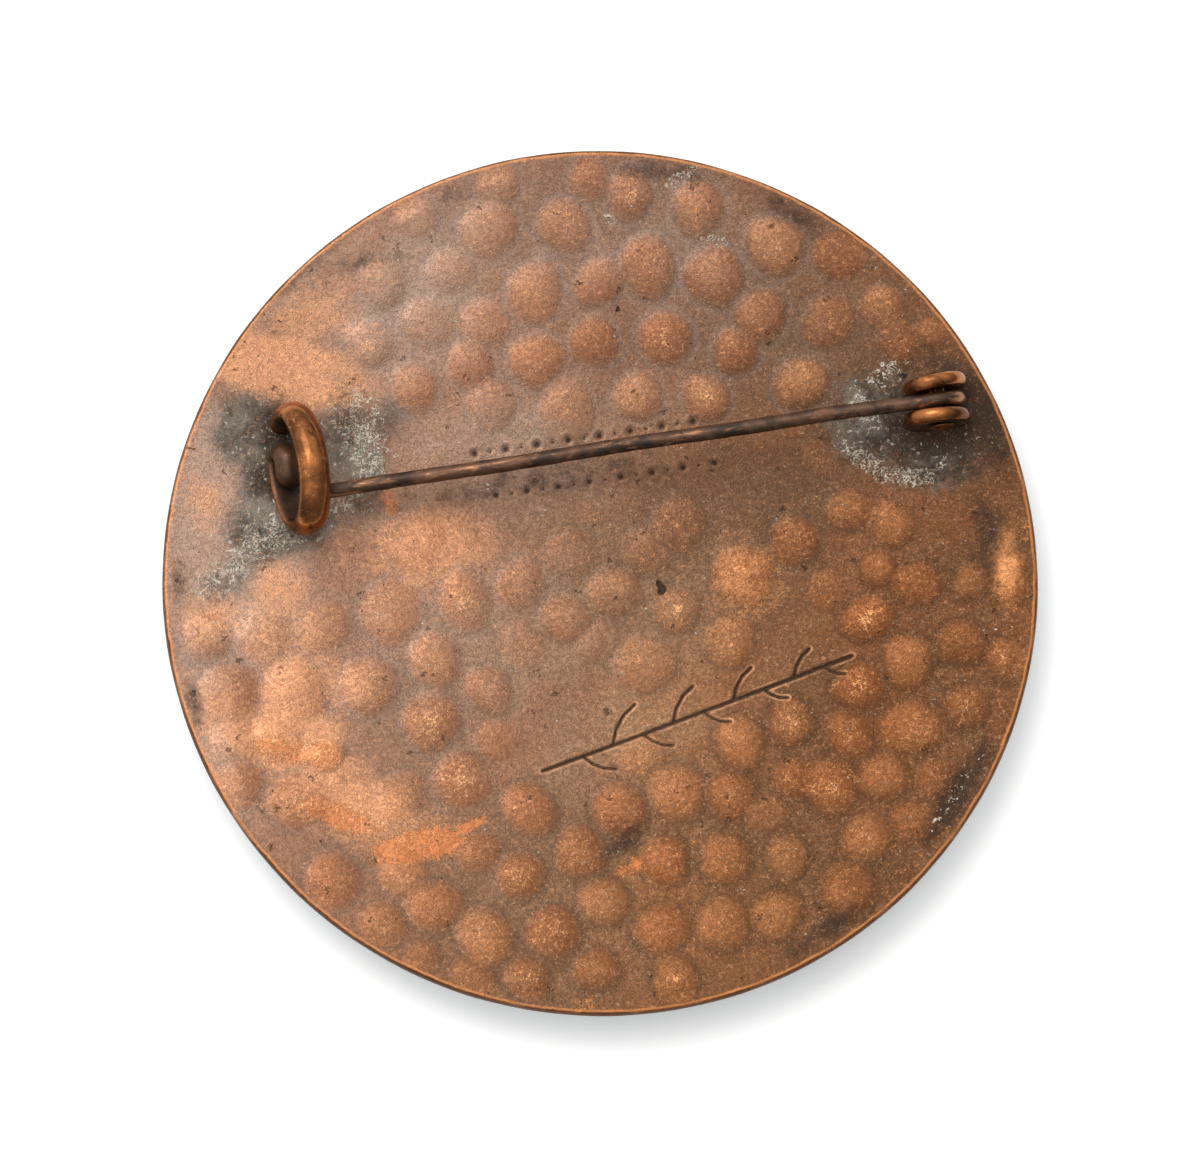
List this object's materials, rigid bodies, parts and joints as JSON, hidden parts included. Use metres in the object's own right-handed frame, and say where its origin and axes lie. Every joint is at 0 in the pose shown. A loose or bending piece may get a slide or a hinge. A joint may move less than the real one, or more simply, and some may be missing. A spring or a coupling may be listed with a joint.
{
  "type": "round enamel brooch",
  "caption": "Round domed brooch of hammered copper with an enamelled front, a swinging pin in a riveted hinge and a soldered scroll catch.",
  "frame": {"origin": "under the middle of the plate, at the lowest point of the domed enamel face, on which the brooch rests", "axes": "+Z out of the back, up as it lies face down; +X along the pin, from the catch to the hinge; Y along the rivet"},
  "size_m": [0.053, 0.053, 0.008],
  "materials": {
    "hammered_copper": "brown copper patina, soft sheen, worn orange on the high spots",
    "fitting_bronze": "polished brown bronze",
    "pin_wire": "dark drawn wire, rubbed",
    "enamel": "glossy fired enamel"
  },
  "bodies": {
    "brooch": {"back_plate": "hammered_copper", "enamel_face": "enamel", "hinge_rivet": "fitting_bronze"},
    "pin": {"pin": "pin_wire"}
  },
  "joints": [
    {"name": "pin_swing", "type": "hinge", "parent": "brooch", "child": "pin", "pos_m": [0.0218, 0.0076, 0.0051], "axis": [0, 1, 0], "range_deg": [0, 90]}
  ]
}
